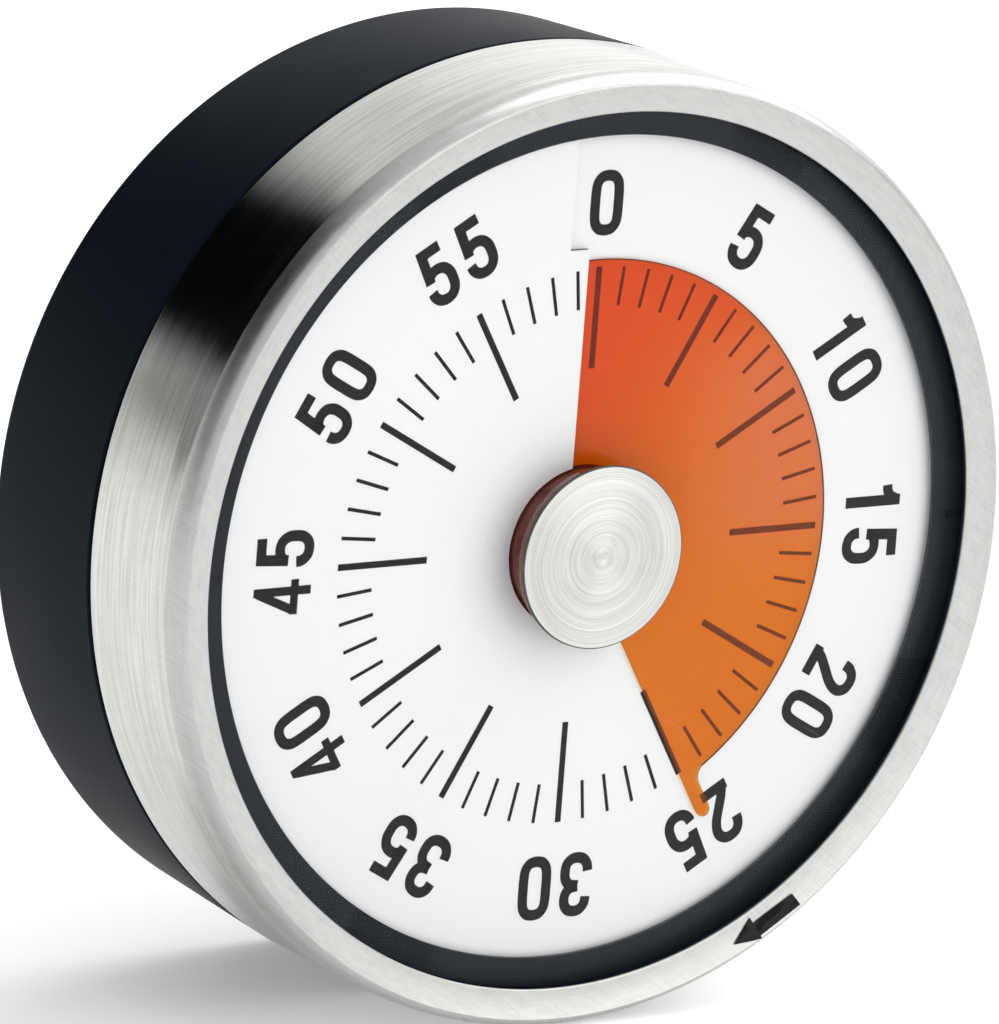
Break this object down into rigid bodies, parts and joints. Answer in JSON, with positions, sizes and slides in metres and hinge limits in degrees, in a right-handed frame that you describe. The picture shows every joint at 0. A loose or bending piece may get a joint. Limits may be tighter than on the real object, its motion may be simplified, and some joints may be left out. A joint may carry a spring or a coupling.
{
  "type": "kitchen timer",
  "caption": "Round mechanical kitchen timer with a turning steel ring, clear window, minute dial and a red time-left sector, held up by a magnet in its back.",
  "frame": {"origin": "centre of the magnet pad's outer face, the flat that rests on a steel door", "axes": "+Y out of the back, dial facing -Y, +Z towards the dial's 0 when the timer hangs upright, +X to the right of a person reading the dial"},
  "size_m": [0.078, 0.0325, 0.078],
  "materials": {
    "body_plastic": "fine matt moulded texture, blue-black",
    "inner_plastic": "natural white moulding, unseen",
    "carrier_plastic": "satin black",
    "hub_plastic": "glossy dark red-brown",
    "dial_card": "matt white, printed",
    "film_red": "translucent orange-red film",
    "clear_lens": "clear, polished, lightly scratched",
    "ring_steel": "brushed round the side, swirl-brushed lip",
    "cap_metal": "spun concentric finish",
    "screw_steel": "zinc plated",
    "train_steel": "turned steel",
    "spring_steel": "blued spring steel",
    "bell_steel": "nickel plated",
    "plate_brass": "stamped brass",
    "wheel_brass": "cut brass",
    "ferrite": "ground ferrite",
    "pad_rubber": "thin rubber"
  },
  "bodies": {
    "case": {"body_shell": "body_plastic", "back_cover": "body_plastic", "case_screws": "screw_steel", "ring_magnet": "ferrite", "magnet_pad": "pad_rubber", "dial": "dial_card", "dial_support": "inner_plastic", "dial_support_screws": "screw_steel", "front_plate": "plate_brass", "back_plate": "plate_brass", "plate_pillars": "train_steel", "plate_screws": "screw_steel", "mainspring": "spring_steel", "spring_anchor": "train_steel", "bell": "bell_steel", "bell_post": "train_steel", "bell_nut": "train_steel", "hammer_spring": "spring_steel"},
    "turning_front": {"steel_ring": "ring_steel", "front_carrier": "carrier_plastic", "lens": "clear_lens", "knob_cap": "cap_metal", "knob_hub": "hub_plastic", "hub_screw": "screw_steel", "winding_arbor": "train_steel", "main_wheel": "wheel_brass", "ratchet_wheel": "train_steel", "click_pin": "train_steel", "release_cam": "inner_plastic"},
    "click": {"click_pawl": "train_steel"},
    "film": {"time_film": "film_red"},
    "second_arbor": {"second_pinion": "train_steel", "second_wheel": "wheel_brass"},
    "third_arbor": {"third_pinion": "train_steel", "third_wheel": "wheel_brass"},
    "escape_arbor": {"escape_pinion": "train_steel", "escape_wheel": "wheel_brass"},
    "balance": {"pallet_arbor": "train_steel", "pallet_lever": "train_steel", "balance_wheel": "wheel_brass"},
    "hammer": {"hammer_arbor": "train_steel", "hammer_arm": "train_steel", "hammer_head": "train_steel"},
    "stop": {"stop_lever": "train_steel", "stop_lever_arbor": "train_steel"}
  },
  "joints": [
    {"name": "front_turn", "type": "hinge", "parent": "case", "child": "turning_front", "pos_m": [0, 0, 0], "axis": [0, 1, 0], "range_deg": [-150, 210]},
    {"name": "film_screw", "type": "slide", "parent": "turning_front", "child": "film", "axis": [0, -1, 0], "range_m": [-0.00023, 0.000325]},
    {"name": "click_lift", "type": "hinge", "parent": "turning_front", "child": "click", "pos_m": [0, -0.01915, 0.0062], "axis": [0, 1, 0], "range_deg": [-10, 0], "stiffness_Nm_per_rad": 0.0002},
    {"name": "second_spin", "type": "hinge", "parent": "case", "child": "second_arbor", "pos_m": [-0.01169, -0.018, 0.00675], "axis": [0, 1, 0], "continuous": true},
    {"name": "third_spin", "type": "hinge", "parent": "case", "child": "third_arbor", "pos_m": [-0.00323, -0.018, 0.01385], "axis": [0, 1, 0], "continuous": true},
    {"name": "escape_spin", "type": "hinge", "parent": "case", "child": "escape_arbor", "pos_m": [0.00505, -0.018, 0.01239], "axis": [0, 1, 0], "continuous": true},
    {"name": "balance_swing", "type": "hinge", "parent": "case", "child": "balance", "pos_m": [0.01154, -0.018, 0.00864], "axis": [0, 1, 0], "range_deg": [-4, 4]},
    {"name": "hammer_swing", "type": "hinge", "parent": "case", "child": "hammer", "pos_m": [-0.013, -0.012, -0.0135], "axis": [0, 1, 0], "range_deg": [-1.9, 12], "stiffness_Nm_per_rad": 0.002},
    {"name": "stop_swing", "type": "hinge", "parent": "case", "child": "stop", "pos_m": [0.0125, -0.021, -0.0125], "axis": [0, 1, 0], "range_deg": [-6, 0], "stiffness_Nm_per_rad": 0.0005}
  ],
  "couplings": [
    {"joint": "film_screw", "follows": "front_turn", "m_per_rad": 0.000087535},
    {"joint": "second_spin", "follows": "front_turn", "ratio": -8},
    {"joint": "third_spin", "follows": "front_turn", "ratio": 60},
    {"joint": "escape_spin", "follows": "front_turn", "ratio": -360}
  ]
}
